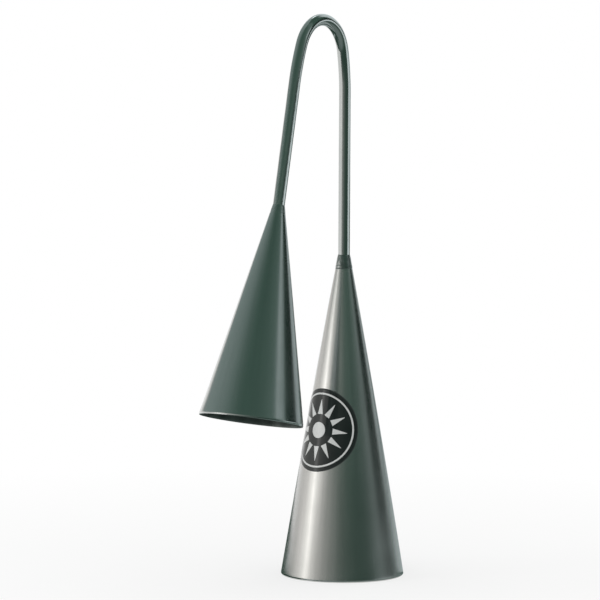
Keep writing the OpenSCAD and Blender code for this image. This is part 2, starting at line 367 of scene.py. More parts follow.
# %% Node group: handling
handling, g_in, g_out = new_group(
    "handling_marks",
    {"Vector": ("NodeSocketVector", None), "Patch": ("NodeSocketFloat", 28.0),
     "Nick": ("NodeSocketFloat", 420.0)},
    {"Blotch": "NodeSocketFloat", "Nicks": "NodeSocketFloat"})
soft = noise(handling, g_in.outputs["Vector"], g_in.outputs["Patch"], 5.0, 0.55, Distortion=0.4)
peaks = noise(handling, g_in.outputs["Vector"], g_in.outputs["Nick"], 2.0, 0.5)
handling.links.new(fit(handling, soft, 0.38, 0.66, 0.0, 1.0), g_out.inputs["Blotch"])
handling.links.new(fit(handling, peaks, 0.74, 0.80, 0.0, 1.0), g_out.inputs["Nicks"])
print("group", handling.name, "made")

# %% [markdown]
# ## Satin steel under lacquer
# All the steel is one shader with different numbers. The metal is a neutral grey, satin from fine
# blasting, with the drawn lines in it, and a clear lacquer lies over it. The lacquer gives the thin
# sharp reflections beside the soft ones of the metal, so it is the shader's coat. Heat from welding
# darkens the steel next to a weld. A fainter darkening that reaches further down from the neck is
# painted shade, which dims the sheet's reflection there. Handling brightens the edge of the mouth.
# Heat, shade and rubbing come as values at the vertices, because they follow the shape.

# %% Satin steel material
FINE_SHARE = 0.15
# Colour of the heat stain by the welds, and of the painted shade below the neck.
HEAT_STAIN_AND_SHADE = (0.20, 0.18, 0.15, 1)
RUBBED_EDGE = (0.70, 0.71, 0.69, 1)
STEEL_NICK = (0.16, 0.17, 0.16, 1)
STEEL_RELIEF = 0.02 * MM


def steel(name, light, dark, length, spacing, rough, swing, bump, lacquer=0.35, aniso=0.35,
          lacquer_rough=0.05):
    """A satin steel. light and dark are the tones between lines, which run along the UV map's
    second axis, and swing is how far the roughness moves with them."""
    material, tree, shader = new_material(name)
    lines = lines_on_wrap(tree, length, spacing)
    place = add(tree, "ShaderNodeTexCoord")
    hands = use_group(tree, handling, Vector=place.outputs["Object"])
    nicks, heat, edge = hands.outputs["Nicks"], mark_value(tree, "heat"), mark_value(tree, "edge")
    tone = maths(tree, "ADD", scaled(tree, lines.outputs["Tone"], FINE_SHARE),
                 scaled(tree, lines.outputs["Streaks"], 1 - FINE_SHARE))
    colour = blend_colour(tree, tone, dark, light)
    # Heat stain by the welds, plus painted shade further down from the neck that dims the reflection.
    colour = stain(tree, colour, heat, 0.75, HEAT_STAIN_AND_SHADE)
    colour = stain(tree, colour, edge, 0.3, RUBBED_EDGE)
    colour = stain(tree, colour, nicks, 0.3, STEEL_NICK)
    gloss = maths(tree, "ADD", scaled(tree, tone, -swing), rough + swing / 2)
    gloss = maths(tree, "ADD", gloss, scaled(tree, hands.outputs["Blotch"], 0.04))
    gloss = maths(tree, "ADD", gloss, scaled(tree, heat, 0.12))
    gloss = maths(tree, "SUBTRACT", gloss, scaled(tree, edge, 0.05), clamp=True)
    relief = maths(tree, "SUBTRACT", lines.outputs["Height"], scaled(tree, nicks, 0.8))
    bumped = add(tree, "ShaderNodeBump", None, Strength=bump, Distance=STEEL_RELIEF, Height=relief)
    tangent = add(tree, "ShaderNodeTangent", {"direction_type": "UV_MAP", "uv_map": "wrap"})
    tree.links.new(tangent.outputs[0], shader.inputs["Tangent"])
    dress(tree, shader, colour, gloss, bumped, Metallic=1.0, Anisotropic=aniso,
          Coat_Weight=lacquer, Coat_Roughness=lacquer_rough, Coat_IOR=1.5)
    print("material", name)
    return material


large_steel = steel("rolled_sheet_large", (0.61, 0.605, 0.59, 1), (0.49, 0.495, 0.48, 1),
                    length=70 * MM, spacing=0.9 * MM, rough=0.21, swing=0.05, bump=0.05,
                    lacquer=0.8, aniso=0.7, lacquer_rough=0.18)
small_steel = steel("rolled_sheet_small", (0.55, 0.565, 0.555, 1), (0.46, 0.48, 0.47, 1),
                    length=60 * MM, spacing=0.9 * MM, rough=0.20, swing=0.05, bump=0.05,
                    lacquer=0.8, aniso=0.5)
bar_steel = steel("drawn_bar", (0.56, 0.575, 0.56, 1), (0.47, 0.49, 0.475, 1),
                  length=30 * MM, spacing=0.4 * MM, rough=0.13, swing=0.04, bump=0.2)
# Inside the bell the steel is bare and rough; its near-black colour is painted shade for the hollow.
inner_steel_shade = steel("bare_inner_steel_painted_shade", (0.14, 0.155, 0.147, 1), (0.07, 0.08, 0.075, 1),
                    length=30 * MM, spacing=0.6 * MM, rough=0.48, swing=0.1, bump=0.8, lacquer=0.0)

# %% [markdown]
# ## Ground weld
# A weld is a row of frozen ripples. These were ground back and rubbed under the same lacquer, so
# they are darker and less even than the sheet, with pits that the wheel didn't reach. Noise sorted
# into two tones does for the metal, and the pits sink in the bump.

# %% Ground weld material
PIT_DARK = (0.06, 0.065, 0.06, 1)
WELD_RELIEF = 0.05 * MM


def weld_steel(name, light, dark):
    """Darker steel with lumps and pits."""
    material, tree, shader = new_material(name)
    place = add(tree, "ShaderNodeTexCoord")
    lump = noise(tree, place.outputs["Object"], 420.0, 4.0, 0.6)
    cells = add(tree, "ShaderNodeTexVoronoi", None, Vector=place.outputs["Object"], Scale=700.0)
    lines = lines_on_wrap(tree, 6 * MM, 0.4 * MM)
    pit = fit(tree, cells.outputs["Distance"], 0.05, 0.25, 1.0, 0.0)
    colour = blend_colour(tree, fit(tree, lump, 0.35, 0.68, 0.0, 1.0), dark, light)
    colour = stain(tree, colour, lines.outputs["Streaks"], 0.3, dark)
    colour = stain(tree, colour, pit, 0.4, PIT_DARK)
    gloss = fit(tree, lump, 0.3, 0.7, 0.36, 0.26)
    relief = maths(tree, "ADD", lump, scaled(tree, lines.outputs["Height"], 0.5))
    relief = maths(tree, "SUBTRACT", relief, scaled(tree, pit, 0.4))
    bumped = add(tree, "ShaderNodeBump", None, Strength=0.4, Distance=WELD_RELIEF, Height=relief)
    dress(tree, shader, colour, gloss, bumped, Metallic=1.0, Coat_Weight=0.4, Coat_Roughness=0.08)
    print("material", name)
    return material


weld_metal = weld_steel("ground_weld", (0.40, 0.42, 0.41, 1), (0.27, 0.29, 0.28, 1))
blended_weld = weld_steel("blended_weld", (0.52, 0.54, 0.53, 1), (0.43, 0.45, 0.44, 1))

# %% [markdown]
# ## Badge
# The round badge is a printed label: glossy black with silver print. Gloss black shows every
# window and lamp, so its interest is in the smoothness of the coat: a faint orange peel, rubbed
# patches and small nicks. The silver is ink with metal flakes, whiter and duller.

# %% Badge materials
BADGE_RELIEF = 0.02 * MM
LABEL_TONES = ((0.010, 0.014, 0.013, 1), (0.016, 0.021, 0.020, 1))
LABEL_NICK = (0.20, 0.21, 0.20, 1)
LABEL_EDGE = (0.07, 0.075, 0.075, 1)
INK_TONES = ((0.66, 0.67, 0.66, 1), (0.82, 0.83, 0.82, 1))
INK_THIN = (0.54, 0.55, 0.54, 1)
INK_NICK = (0.06, 0.065, 0.065, 1)


def label_black_material():
    """Gloss black label: near black, a clear coat, faint orange peel and rubbed patches."""
    material, tree, shader = new_material("label_black")
    place = add(tree, "ShaderNodeTexCoord")
    hands = use_group(tree, handling, Vector=place.outputs["Object"], Patch=55.0, Nick=900.0)
    peel = noise(tree, place.outputs["Object"], 700.0, 2.0, 0.5)
    colour = blend_colour(tree, hands.outputs["Blotch"], *LABEL_TONES)
    colour = stain(tree, colour, hands.outputs["Nicks"], 0.25, LABEL_NICK)
    colour = stain(tree, colour, mark_value(tree, "edge"), 0.5, LABEL_EDGE)
    gloss = maths(tree, "ADD", scaled(tree, hands.outputs["Blotch"], 0.06), 0.16)
    bumped = add(tree, "ShaderNodeBump", None, Strength=0.10, Distance=BADGE_RELIEF, Height=peel)
    dress(tree, shader, colour, gloss, bumped, Specular_IOR_Level=0.15, Coat_Weight=0.9,
          Coat_Roughness=0.04, Coat_IOR=1.35)
    return material


def silver_ink_material():
    """Silver ink: pale grey flakes, satin, worn a little thin in patches."""
    material, tree, shader = new_material("silver_ink")
    place = add(tree, "ShaderNodeTexCoord")
    hands = use_group(tree, handling, Vector=place.outputs["Object"], Patch=90.0, Nick=1100.0)
    flakes = noise(tree, place.outputs["Object"], 2600.0, 3.0, 0.7)
    colour = blend_colour(tree, fit(tree, flakes, 0.35, 0.65, 0.0, 1.0), *INK_TONES)
    colour = stain(tree, colour, hands.outputs["Blotch"], 0.2, INK_THIN)
    colour = stain(tree, colour, hands.outputs["Nicks"], 0.6, INK_NICK)
    gloss = fit(tree, flakes, 0.3, 0.7, 0.5, 0.34)
    bumped = add(tree, "ShaderNodeBump", None, Strength=0.3, Distance=BADGE_RELIEF, Height=flakes)
    dress(tree, shader, colour, gloss, bumped, Metallic=0.2, Coat_Weight=0.3, Coat_Roughness=0.08)
    return material


label_black = label_black_material()
silver_ink = silver_ink_material()
print("materials", label_black.name, silver_ink.name)

# %% [markdown]
# ## The sheet of a bell
# A cone rolled from flat sheet is never perfectly round. It has a faint flat beside the seam and
# slow waves left by the rolls, and it is these that make its reflections wander a
# little. The wave is a short sum of cosines that fades out at the mouth, where the rim was
# trued, so the part still stands on its measured ring.

# %% Radius of a bell, and its place in the frame
ROLL_WAVES = ((2, 0.07, 0.4, 1.3), (3, 0.05, 2.1, -2.2), (5, 0.030, 4.0, 3.1), (9, 0.010, 1.2, 5.0))
SEAM_FLAT = 0.16 * MM
SEAM_FLAT_TURN = 0.22


def outer_r(bell, z):
    """Straight taper from mouth to neck plus a parabola that swells most at half height."""
    s = z / bell["h"]
    return bell["mouth_r"] + (bell["neck_r"] - bell["mouth_r"]) * s + 4 * bell["belly"] * s * (1 - s)


def slope(bell):
    """Angle between the sheet and the bell's axis."""
    return math.atan((bell["mouth_r"] - bell["neck_r"]) / bell["h"])


def from_seam(bell, theta):
    """Turn from the seam, between minus and plus half a turn."""
    return (theta - bell["seam"] + math.pi) % (2 * math.pi) - math.pi


def wave(bell, theta, z):
    """Sum of cosines of 2, 3, 5 and 9 turns, each phase drifting with height, less a flat at the
    seam; it fades towards mouth and neck."""
    s = z / bell["h"]
    total = 0.0
    for turns, size, phase, drift in ROLL_WAVES:
        total = total + size * MM * np.cos(turns * theta + phase + drift * s)
    total = total - SEAM_FLAT * np.exp(-((from_seam(bell, theta) / SEAM_FLAT_TURN) ** 2))
    return total * smooth(0.0, 0.10, s) * smooth(0.0, 0.12, 1 - s)


def in_frame(bell, radius, theta, z):
    """Points of a bell's own frame (radius, turn, height) moved and tilted into the part."""
    x, y = radius * np.cos(theta), radius * np.sin(theta)
    c, s = math.cos(bell["tilt"]), math.sin(bell["tilt"])
    return np.stack([bell["at"][0] + x * c + z * s, y, bell["at"][1] - x * s + z * c], -1)


print("sheet slopes", [round(math.degrees(slope(b)), 2) for b in (LARGE, SMALL)])

# %% [markdown]
# ## Section of the wall
# The section runs up the outside, over the top edge, down the inside and round the dressed rim. The
# rim's outer edge was turned in slightly by the file, which catches light as a thin line just above
# the mouth. Rows stand closer together there, because that is where the curve is.

# %% Wall section
LIP_H = 1.7 * MM
LIP_IN = 0.42 * MM
EDGE_R = 0.25 * MM
OUTER_ROWS = 150
INNER_ROWS = 110
LIP_ROWS = 12
RIM_BREAK = 0.08 * MM
RIM_FOOT = 0.10 * MM


def lip(z):
    """How far the outer face turns in near the mouth: a parabola over LIP_H."""
    return LIP_IN * np.clip(1 - z / LIP_H, 0, 1) ** 2


def wall_section(bell):
    """Section of the wall as (radius, height), with True where a point lies inside the bell."""
    level_t = SHEET_T / math.cos(slope(bell))
    lip_z = LIP_H * np.linspace(0, 1, LIP_ROWS) ** 1.4
    up = np.concatenate([np.maximum(lip_z, RIM_BREAK), np.linspace(LIP_H, bell["h"], OUTER_ROWS)[1:]])
    outside = np.stack([outer_r(bell, up) - lip(up), up], 1)
    down = np.linspace(bell["h"], EDGE_R, INNER_ROWS)
    inside = np.stack([outer_r(bell, down) - level_t, down], 1)
    a = np.linspace(math.pi, 1.5 * math.pi, 5)
    corner = inside[-1] + EDGE_R * np.stack([1 + np.cos(a), np.sin(a)], 1)
    foot = outside[0] * [1, 0] - [RIM_FOOT, 0]
    section = np.vstack([outside, inside, corner[1:], foot])
    is_inner = np.arange(len(section)) >= len(outside)
    return section, is_inner


print("points in a section", [len(wall_section(b)[0]) for b in (LARGE, SMALL)])

# %% Bells, stained by heat, darkened below the neck by painted shade, and rubbed at the rim
HEAT_REACH = 4 * MM
# Reach of the painted shade below the neck, which dims the sheet's reflection there.
NECK_SHADE_FAR = 30 * MM
HEAT_BESIDE = 2.2 * MM
RUB_REACH = 0.9 * MM
UV_RADIUS_SHARE = 0.6


def heat_and_neck_shade_at(bell, theta, z):
    """Heat stain: full beside the neck weld and along the seam, gone after a few millimetres. The faint
    dull zone that reaches further down from the neck is painted shade, dimming the sheet's reflection."""
    from_neck = bell["h"] - z
    # The short term is the heat stain; the longer, fainter term is painted shade below the neck.
    neck = 0.8 * np.exp(-from_neck / HEAT_REACH) + 0.2 * np.exp(-from_neck / NECK_SHADE_FAR)
    away = np.abs(from_seam(bell, theta)) * outer_r(bell, z)
    return np.clip(0.9 * neck + 0.55 * np.exp(-away / HEAT_BESIDE), 0, 1)


def edge_at(section):
    """Rubbed edge: full at the rim, gone after a few times RUB_REACH."""
    return np.exp(-section[:, 1:] / RUB_REACH)


def bell_shell(bell, turns):
    """The section carried once round the bell's axis, each radius moved by the wave."""
    section, is_inner = wall_section(bell)
    theta = bell["seam"] + np.linspace(0, 2 * math.pi, turns, endpoint=False)
    radius = section[:, :1] + wave(bell, theta[None], section[:, 1:])
    points = in_frame(bell, radius, theta[None], np.broadcast_to(section[:, 1:], radius.shape))
    along = running(np.vstack([section, section[:1]]))
    across = np.linspace(0, 2 * math.pi * bell["mouth_r"] * UV_RADIUS_SHARE, turns + 1)
    marks = {
        "heat": np.broadcast_to(heat_and_neck_shade_at(bell, theta[None], section[:, 1:]), radius.shape),
        "edge": np.broadcast_to(edge_at(section), radius.shape)}
    # Inner faces take the inner steel, whose near-black colour is painted shade.
    quad_inner = np.repeat(is_inner & np.roll(is_inner, -1), turns).astype(np.int32)
    return shell(points, across, along, True), marks, quad_inner


for name, bell, metal, turns, body in (
        ("large_bell_sheet", LARGE, large_steel, 288, "large_side"),
        ("small_bell_sheet", SMALL, small_steel, 256, "small_side")):
    part, marks, quad_inner = bell_shell(bell, turns)
    node = name.replace("_sheet", "")
    make_piece(name, [part], [metal, inner_steel_shade], body, [node], node + "_steel", quad_inner, marks)

# %% [markdown]
# ## Seam weld
# The rolled edges meet in a butt weld. Outside it was ground almost flush, so only a faint rib and a
# stain show. Inside it was left as it froze, in overlapping ripples. Its section is a flat lens
# through the wall, carried up the seam, with the ripples as a saw-toothed wave on the inner side.

# %% Seam welds
SEAM_W = 1.6 * MM
SEAM_PROUD = 0.05 * MM
SEAM_ROOT = 0.4 * MM
RIPPLE = 1.1 * MM
RIPPLE_H = 0.10 * MM
RIPPLE_BOW = 0.35
SEAM_START = 0.3 * MM
SEAM_SHORT = 0.5 * MM


def seam_shell(bell):
    """Lens-shaped section across the wall; its inner face has one curved ripple per RIPPLE."""
    rows, half = 420, 12
    z = np.linspace(SEAM_START, bell["h"] - SEAM_SHORT, rows)[:, None]
    side = np.linspace(-1, 1, half)
    level_t = SHEET_T / math.cos(slope(bell))
    phase = (z / RIPPLE - RIPPLE_BOW * side[None] ** 2) % 1.0
    scales = RIPPLE_H * (1 - phase) ** 1.5
    root = SEAM_ROOT * np.clip(1 - z / (bell["h"] - ROD_INSERT), 0, 1) ** 0.5
    outside = SEAM_PROUD * (1 - side[None] ** 2) + 0 * z
    inside = -level_t - (root + scales) * (1 - side[None] ** 4)
    depth = np.concatenate([outside, inside[:, ::-1]], 1)
    sideways = np.concatenate([side, side[::-1]])[None] * SEAM_W / 2
    base = outer_r(bell, z)
    theta = bell["seam"] + sideways / np.maximum(base + depth, ROD_R)
    radius = base + wave(bell, theta, z) + depth - lip(z) * (depth > -level_t / 2)
    points = in_frame(bell, radius, theta, np.broadcast_to(z, radius.shape))
    across = np.linspace(0, 2 * SEAM_W, 2 * half + 1)
    return shell(points, across, z[:, 0], False)


for name, bell, body in (
        ("large_seam_bead", LARGE, "large_side"),
        ("small_seam_bead", SMALL, "small_side")):
    make_piece(name, [seam_shell(bell)], [weld_metal], body, [name.replace("bead", "weld")],
               "weld_steel")

# %% [markdown]
# ## Neck weld
# Where the rod enters the bell the gap is filled with weld and ground to a cone that carries the
# line of the sheet up to the rod. The wheel left it slightly lumpy, and on the large bell with two
# thin grooves where one pass of the weld met the next. A sum of sines with whole numbers of turns
# gives the lumps, since it closes on itself round the rod.

# %% Lumps of the weld
rng = np.random.default_rng(7)
LUMPS = [(int(t), float(k), float(p), 1 / (1 + 0.25 * t)) for t, k, p in
         zip(rng.integers(1, 9, 10), rng.uniform(-1400, 1400, 10), rng.uniform(0, 6.28, 10))]


def lumps(theta, z):
    """Sum of sines with whole turns round the rod and a drift along it."""
    return sum(size * np.sin(t * theta + k * z + p) for t, k, p, size in LUMPS) / 3.0


print("sines in the lumps", len(LUMPS))

# %% Neck welds
WELD_ROOT = 2.0 * MM
WELD_CORE_R = ROD_R - 0.3 * MM
FOOT_SHARE = 0.9
GROOVE_HALF = 0.22 * MM
GROOVE_SWAY = 0.12 * MM
UNDER_SHARE = -0.06


def neck_shell(bell, turns):
    """Ring of weld: crown from the sheet's edge to the rod, hidden foot round the rod below."""
    crown_rows = 60
    s = np.linspace(UNDER_SHARE, 1, crown_rows)
    height = bell["h"] + bell["weld_h"] * s
    taper = bell["neck_r"] + (ROD_R - bell["neck_r"]) * s + 4 * bell["weld_swell"] * s * (1 - s)
    theta = np.linspace(0, 2 * math.pi, turns, endpoint=False)
    fade = smooth(UNDER_SHARE, 0.04, s) * smooth(0.0, 0.12, 1 - s)
    rough = bell["weld_lumps"] * fade[:, None] * lumps(theta[None], height[:, None])
    for at, deep, phase in bell["grooves"]:
        centre = bell["h"] + bell["weld_h"] * at + GROOVE_SWAY * np.sin(theta + phase)
        rough = rough - deep * np.exp(-(((height[:, None] - centre) / GROOVE_HALF) ** 2))
    skin = taper[:, None] + bell["weld_step"] * smooth(UNDER_SHARE, 0.0, s)[:, None] + rough
    core_z = np.array([bell["h"] + bell["weld_h"], bell["h"] - WELD_ROOT, bell["h"] - WELD_ROOT])
    foot_r = outer_r(bell, core_z[2]) - FOOT_SHARE * SHEET_T
    core_r = np.array([WELD_CORE_R, WELD_CORE_R, foot_r])
    radius = np.vstack([skin, np.broadcast_to(core_r[:, None], (3, turns))])
    z = np.concatenate([height, core_z])
    points = in_frame(bell, radius, theta[None], np.broadcast_to(z[:, None], radius.shape))
    profile = np.stack([radius[:, 0], z], 1)
    across = np.linspace(0, 2 * math.pi * bell["neck_r"], turns + 1)
    return shell(points, across, running(np.vstack([profile, profile[:1]])), True)


for name, bell, metal, body in (
        ("large_neck_bead", LARGE, weld_metal, "large_side"),
        ("small_neck_bead", SMALL, blended_weld, "small_side")):
    make_piece(name, [neck_shell(bell, 144)], [metal], body, [name.replace("bead", "weld")],
               "weld_steel", crease=60)

# %% [markdown]
# ## The rod
# One bar, bent cold over formers: straight, shoulder, crown, shoulder, straight. Its direction is a
# simple function of the length along it, so the centre line is that direction added up in
# small steps. Both ends are sawn off inside the bells. When the player squeezes the bells the bow
# flexes; this one piece is put on neither body.

# %% Centre line of the rod
ROD_STEP = 0.45 * MM
lengths = [ROD_INSERT + LARGE["weld_h"] + LARGE_LEG, SHOULDER_R * LARGE_SHOULDER_TURN,
           CROWN_R * crown_turn, SHOULDER_R * SMALL_SHOULDER_TURN,
           SMALL_LEG + SMALL["weld_h"] + ROD_INSERT]
headings = [0, 0, LARGE_SHOULDER_TURN, crown_end, math.pi - SPLAY, math.pi - SPLAY]
knots = np.concatenate([[0], np.cumsum(lengths)])
steps = np.linspace(0, knots[-1], int(knots[-1] / ROD_STEP))
heading = np.interp(steps, knots, headings)
middle = (heading[1:] + heading[:-1]) / 2
stride = np.diff(steps)
rod_x = large_axis_x - np.concatenate([[0], np.cumsum(np.sin(middle) * stride)])
rod_z = LARGE["h"] - ROD_INSERT + np.concatenate([[0], np.cumsum(np.cos(middle) * stride)])
print("rod length mm", round(knots[-1] / MM, 1))
print("rod end mm", round(rod_x[-1] / MM, 2), round(rod_z[-1] / MM, 2))

# %% Rod
ROD_SIDES = 56
CHAMFER = 0.5 * MM
SLOW_WEAR, FAST_WEAR = 0.012 * MM, 0.003 * MM
SLOW_PER_M, FAST_PER_M = 310, 871
UNDERSIZE = 0.02 * MM


def rod_shell():
    """A circle carried along the centre line, square to it, with a small chamfer at each end."""
    phi = np.linspace(0, 2 * math.pi, ROD_SIDES, endpoint=False)
    from_end = np.minimum(steps, steps[-1] - steps)
    radius = ROD_R - np.clip(CHAMFER - from_end, 0, CHAMFER)
    wear = SLOW_WEAR * np.sin(steps[:, None] * SLOW_PER_M + 2 * phi[None])
    wear = wear + FAST_WEAR * np.sin(steps[:, None] * FAST_PER_M - phi[None])
    radius = radius[:, None] + wear - UNDERSIZE
    out_x, out_z = np.cos(heading), np.sin(heading)
    x = rod_x[:, None] + radius * np.cos(phi) * out_x[:, None]
    z = rod_z[:, None] + radius * np.cos(phi) * out_z[:, None]
    y = radius * np.sin(phi)
    across = np.linspace(0, 2 * math.pi * ROD_R, ROD_SIDES + 1)
    return shell(np.stack([x, y, z], -1), across, steps, False)


def rod_marks():
    """Heat stain where the rod leaves each neck weld; no rubbed edge."""
    from_large = np.abs(steps - ROD_INSERT - LARGE["weld_h"])
    from_small = np.abs(steps - knots[-1] + ROD_INSERT + SMALL["weld_h"])
    rows = np.repeat(0.85 * np.exp(-np.minimum(from_large, from_small) / HEAT_REACH), ROD_SIDES)
    return {"heat": np.concatenate([rows, [0.3, 0.3]])}


rod = make_piece("handle_rod", [rod_shell()], [bar_steel], None,
                 ["handle_bow", "large_leg", "small_leg"], "rod_steel", marks=rod_marks())
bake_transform(rod)

# %% [markdown]
# ## The badge
# The badge is printed flat and then wrapped on the cone. A cone unrolls without stretching, so a
# point at distance and angle from the cone's tip on the flat sheet has an exact place on the bell.
# Each piece is a closed section in the flat: distance from the middle and height off the steel,
# carried round, and then wrapped as a whole.

# %% Wrapping on the cone
BADGE_Z = 101.5 * MM
BADGE_TURN = math.radians(172)

cone = slope(LARGE)
apex_z = BADGE_Z + outer_r(LARGE, BADGE_Z) / math.tan(cone)
badge_slant = (apex_z - BADGE_Z) / math.cos(cone)


def wrapped(x, y, lift):
    """Flat point (x up the bell, y round it) on the cone, lifted off the sheet."""
    along = badge_slant - x
    slant = np.hypot(along, y)
    theta = BADGE_TURN + np.arctan2(y, along) / math.sin(cone)
    z = apex_z - slant * math.cos(cone)
    radius = outer_r(LARGE, z) + wave(LARGE, theta, z) + lift / math.cos(cone)
    return in_frame(LARGE, radius, theta, z)


def round_print(section, turns):
    """A section of (distance from the middle, height) carried round the badge's middle."""
    psi = np.linspace(0, 2 * math.pi, turns, endpoint=False)[None]
    rho, lift = section[:, :1], np.broadcast_to(section[:, 1:], (len(section), turns))
    return wrapped(rho * np.cos(psi), rho * np.sin(psi), lift)


print("badge slant mm", round(badge_slant / MM, 1))

# %% Black disc
BADGE_R = 28.5 * MM
BADGE_LOW = 0.0 * MM
BADGE_TOP = 0.23 * MM
POLE_R = 0.02 * MM
LABEL_TURNS = 180
LABEL_ROUND = 0.1 * MM
EDGE_WORN = 0.35 * MM


def disc_section(radius, low, top, round_r, rows):
    """From the middle of the top out, over a rounded edge, and back to the middle underneath."""
    a = np.linspace(math.pi / 2, 0, 6)
    flat = np.stack([np.linspace(POLE_R, radius - round_r, rows), np.full(rows, top)], 1)
    edge = np.stack([radius - round_r + round_r * np.cos(a), top - round_r + round_r * np.sin(a)], 1)
    under = np.stack([np.linspace(radius, POLE_R, rows), np.full(rows, low)], 1)
    return np.vstack([flat, edge[1:], under])


def round_piece(section, turns):
    """A closed wrapped disc, its two middles closed by poles."""
    across = np.linspace(0, 2 * math.pi * section[:, 0].max(), turns + 1)
    return shell(round_print(section, turns), across, running(section), False)


disc = disc_section(BADGE_R, BADGE_LOW, BADGE_TOP, LABEL_ROUND, 40)
worn = np.exp(-np.abs(disc[:, 0] - BADGE_R) / EDGE_WORN) * (disc[:, 1] > BADGE_LOW)
worn = np.concatenate([np.repeat(worn, LABEL_TURNS), [0, 0]])
make_piece("badge_label", [round_piece(disc, LABEL_TURNS)], [label_black], "large_side",
           ["badge_disc"], "badge_black", marks={"edge": worn})

# %% Silver ring
PRINT_LOW = BADGE_TOP - 0.03 * MM
PRINT_TOP = BADGE_TOP + 0.06 * MM
RING_R = 25.0 * MM
RING_HALF = 0.6 * MM
RING_TURNS = 240


def ring_piece():
    """A thin flat ring round the badge's middle."""
    inner, outer = RING_R - RING_HALF, RING_R + RING_HALF
    section = np.array([[inner, PRINT_LOW], [inner, PRINT_TOP], [RING_R, PRINT_TOP],
                        [outer, PRINT_TOP], [outer, PRINT_LOW]])
    across = np.linspace(0, 2 * math.pi * RING_R, RING_TURNS + 1)
    along = running(np.vstack([section, section[:1]]))
    return shell(round_print(section, RING_TURNS), across, along, True)


make_piece("badge_ring_print", [ring_piece()], [silver_ink], "large_side", ["badge_ring"],
           "badge_silver")

# %% Silver rays and spot
RAY_COUNT = 12
RAY_FOOT = 11.0 * MM
RAY_TIP = 21.0 * MM
RAY_WIDTH_SHARE = 0.72
RAY_TIP_SHARE = 0.06
SPOT_R = 5.5 * MM
SPOT_TURNS = 72
SPOT_ROUND = 0.03 * MM


def ray_piece(psi):
    """A long triangle from RAY_FOOT to RAY_TIP in direction psi, its tip a small share as wide."""
    rows, wide = 16, 5
    s = np.linspace(0, 1, rows)[:, None]
    half = RAY_FOOT * math.tan(math.radians(RAY_WIDTH_SHARE * 180 / RAY_COUNT))
    k = np.linspace(-1, 1, wide)
    side = half * (1 - s * (1 - RAY_TIP_SHARE)) * np.concatenate([k, k[::-1]])[None]
    reach = np.broadcast_to(RAY_FOOT + (RAY_TIP - RAY_FOOT) * s, side.shape)
    lift = np.broadcast_to(np.repeat([PRINT_TOP, PRINT_LOW], wide)[None], side.shape)
    cos_psi, sin_psi = math.cos(psi), math.sin(psi)
    points = wrapped(reach * cos_psi - side * sin_psi, reach * sin_psi + side * cos_psi, lift)
    across = np.linspace(0, 4 * half, 2 * wide + 1)
    return shell(points, across, (RAY_TIP - RAY_FOOT) * s[:, 0], False)


rays = [ray_piece(2 * math.pi * k / RAY_COUNT) for k in range(RAY_COUNT)]
spot = round_piece(disc_section(SPOT_R, PRINT_LOW, PRINT_TOP, SPOT_ROUND, 12), SPOT_TURNS)
make_piece("badge_ray_print", rays + [spot], [silver_ink], "large_side", ["badge_rays"],
           "badge_silver")

# %% [markdown]
# ## Camera
# A long lens from a little above, on the side where the small bell hangs nearer. The place and lens
# were worked out by fitting the part's outline to the photograph's, so the picture lies over it.

# %% Camera
CAM_AZ = math.radians(-56.11)
CAM_EL = math.radians(4.91)
CAM_ROLL = math.radians(0.27)
CAM_DIST = 2.6
CAM_SIDE = -29.87 * MM
CAM_TARGET_Z = 188.6 * MM
SENSOR = 36.0
FOCAL_PX = 3803.35
FRAME_PX = 600

right = Vector((math.cos(CAM_AZ), math.sin(CAM_AZ), 0))
level_back = Vector((math.sin(CAM_AZ), -math.cos(CAM_AZ), 0))
back = level_back * math.cos(CAM_EL) + Vector((0, 0, math.sin(CAM_EL)))
upward = back.cross(right)
rolled_right = right * math.cos(CAM_ROLL) + upward * math.sin(CAM_ROLL)
rolled_up = upward * math.cos(CAM_ROLL) - right * math.sin(CAM_ROLL)
target = Vector((large_axis_x, 0, CAM_TARGET_Z)) + right * CAM_SIDE
camera_data = bpy.data.cameras.new("camera")
camera_data.sensor_width = SENSOR
camera_data.lens = FOCAL_PX * SENSOR / FRAME_PX
camera = bpy.data.objects.new("camera", camera_data)
bpy.context.scene.collection.objects.link(camera)
turn = Matrix((rolled_right, rolled_up, back)).transposed().to_4x4()
camera.matrix_world = Matrix.Translation(target + back * CAM_DIST) @ turn
bpy.context.scene.camera = camera
print("lens mm", round(camera_data.lens, 1))

# %% [markdown]
# ## Studio
# The eye sees a white table that fades into a white backdrop. The backdrop is the world's colour for
# camera, glossy and transmission rays; for the rest the world is a softer white light. The floor
# has a white of its own for the same three kinds of ray, and near the part enough of it stays matt
# to hold the shadow. What the metal mirrors comes in the next step.

# %% World
def seen_by_eye(tree):
    """1 for camera, glossy and transmission rays, else 0."""
    path = add(tree, "ShaderNodeLightPath")
    both = maths(tree, "MAXIMUM", path.outputs["Is Camera Ray"], path.outputs["Is Glossy Ray"])
    return maths(tree, "MAXIMUM", both, path.outputs["Is Transmission Ray"])


WORLD_SOFT = 0.8
world = bpy.data.worlds.new("studio_white")
bpy.context.scene.world = world
world.use_nodes = True
tree = world.node_tree
tree.nodes.clear()
strength = fit(tree, seen_by_eye(tree), 0.0, 1.0, WORLD_SOFT, 1.0)
sky = add(tree, "ShaderNodeBackground", None, Color=(1, 1, 1, 1), Strength=strength)
tree.links.new(sky.outputs[0], add(tree, "ShaderNodeOutputWorld").inputs[0])
print("world's light on matt things", WORLD_SOFT)

